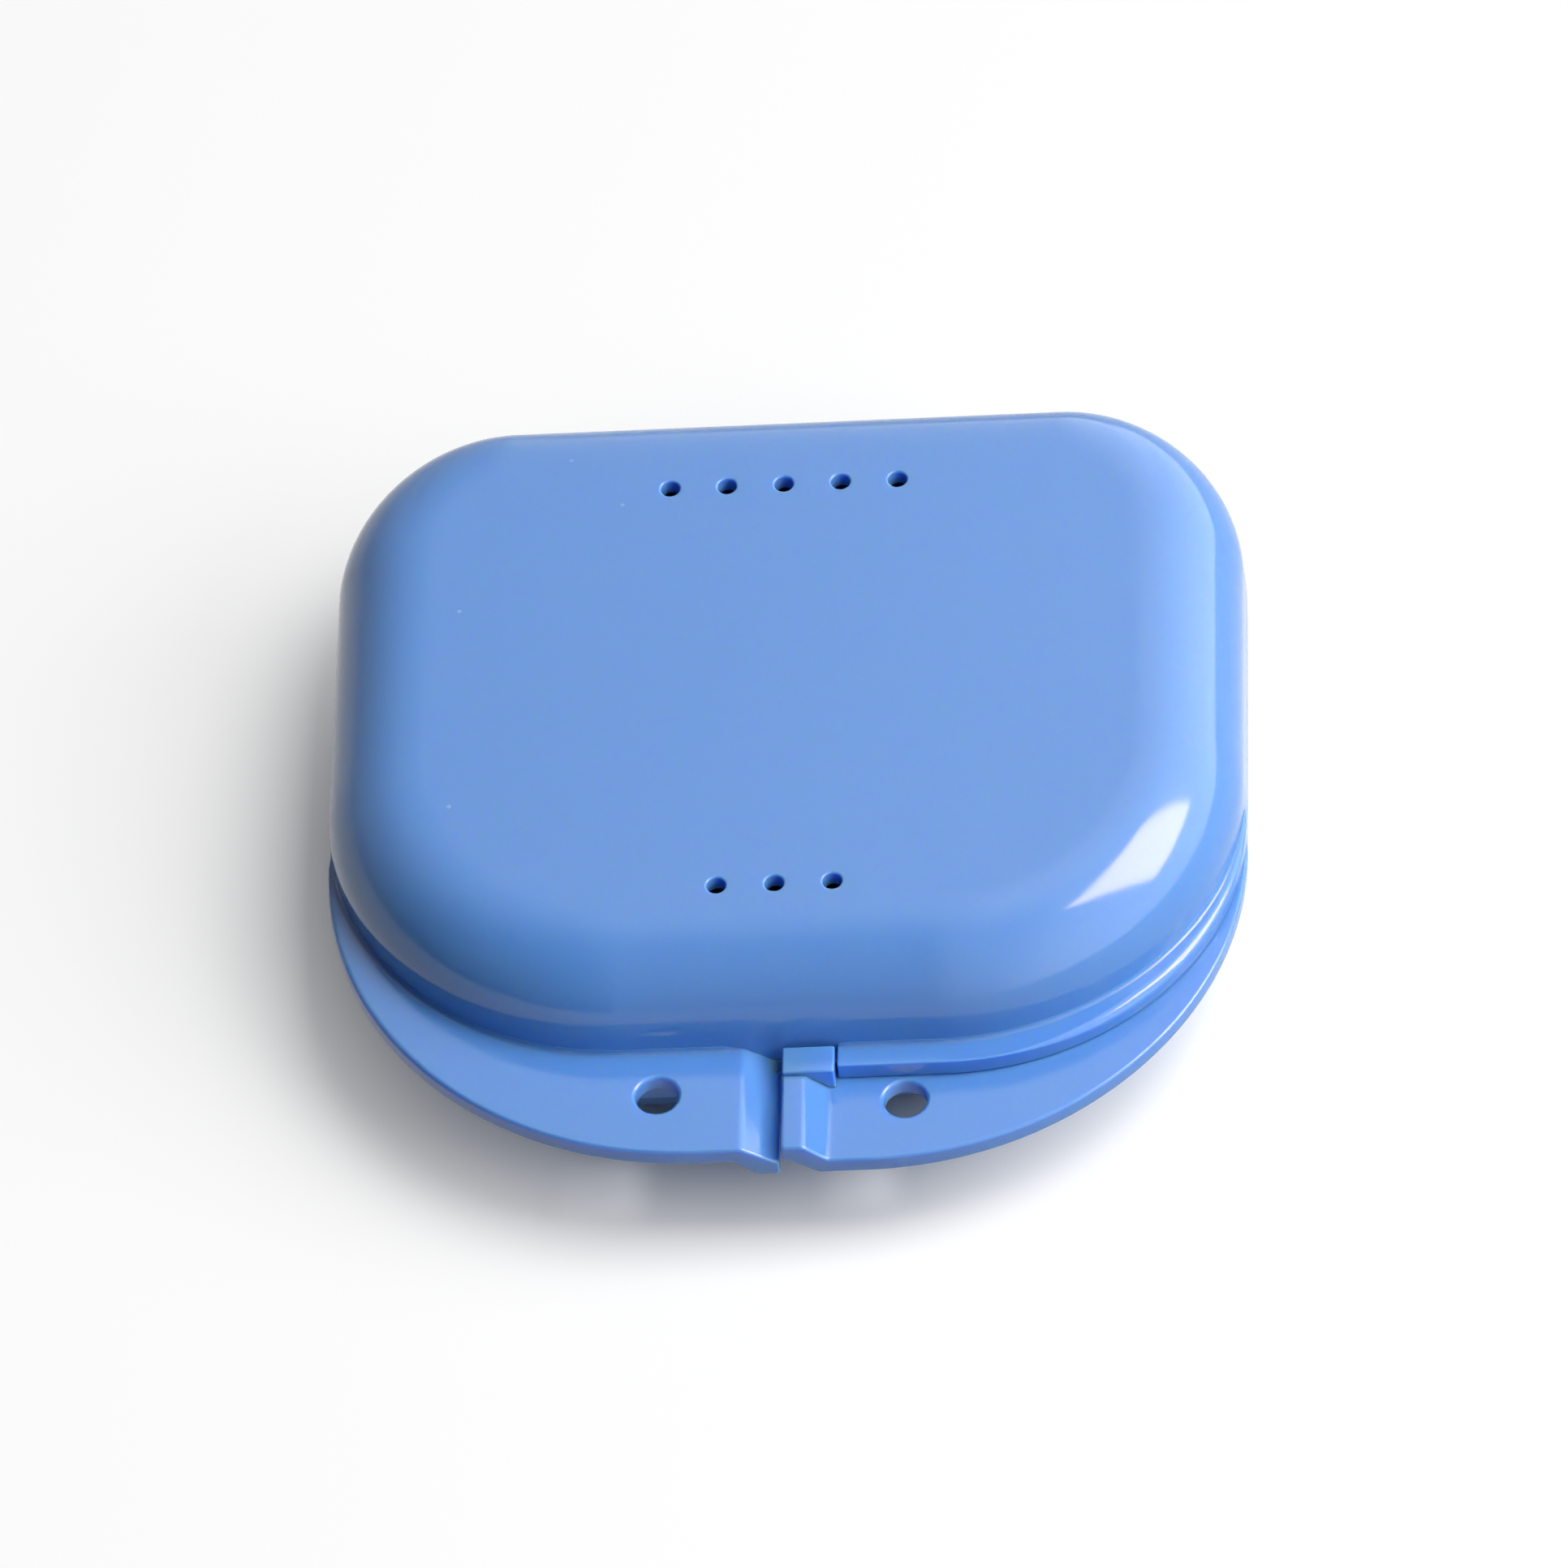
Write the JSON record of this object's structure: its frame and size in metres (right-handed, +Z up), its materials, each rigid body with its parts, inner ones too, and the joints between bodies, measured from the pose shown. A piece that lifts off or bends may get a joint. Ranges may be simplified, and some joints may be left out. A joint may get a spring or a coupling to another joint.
{
  "type": "retainer case",
  "caption": "Flat D-shaped snap-shut case for a dental retainer: hinged halves, a front flange split at the middle with lanyard holes, a snap hook beside it and rows of small air vents.",
  "frame": {"origin": "middle of the shell's flat underside, on the plane that the closed case stands on", "axes": "+X to the right and +Z up with the case closed, +Y from the flange at the front to the hinge at the back"},
  "size_m": [0.08, 0.0814, 0.022],
  "materials": {
    "blue_plastic": "polished opaque injection-moulded polypropylene in mid blue, with fine handling scratches"
  },
  "bodies": {
    "base": {"base_shell": "blue_plastic"},
    "lid": {"lid_shell": "blue_plastic"}
  },
  "joints": [
    {"name": "lid_hinge", "type": "hinge", "parent": "base", "child": "lid", "pos_m": [0, 0.0354, 0.011], "axis": [-1, 0, 0], "range_deg": [0, 180]}
  ]
}
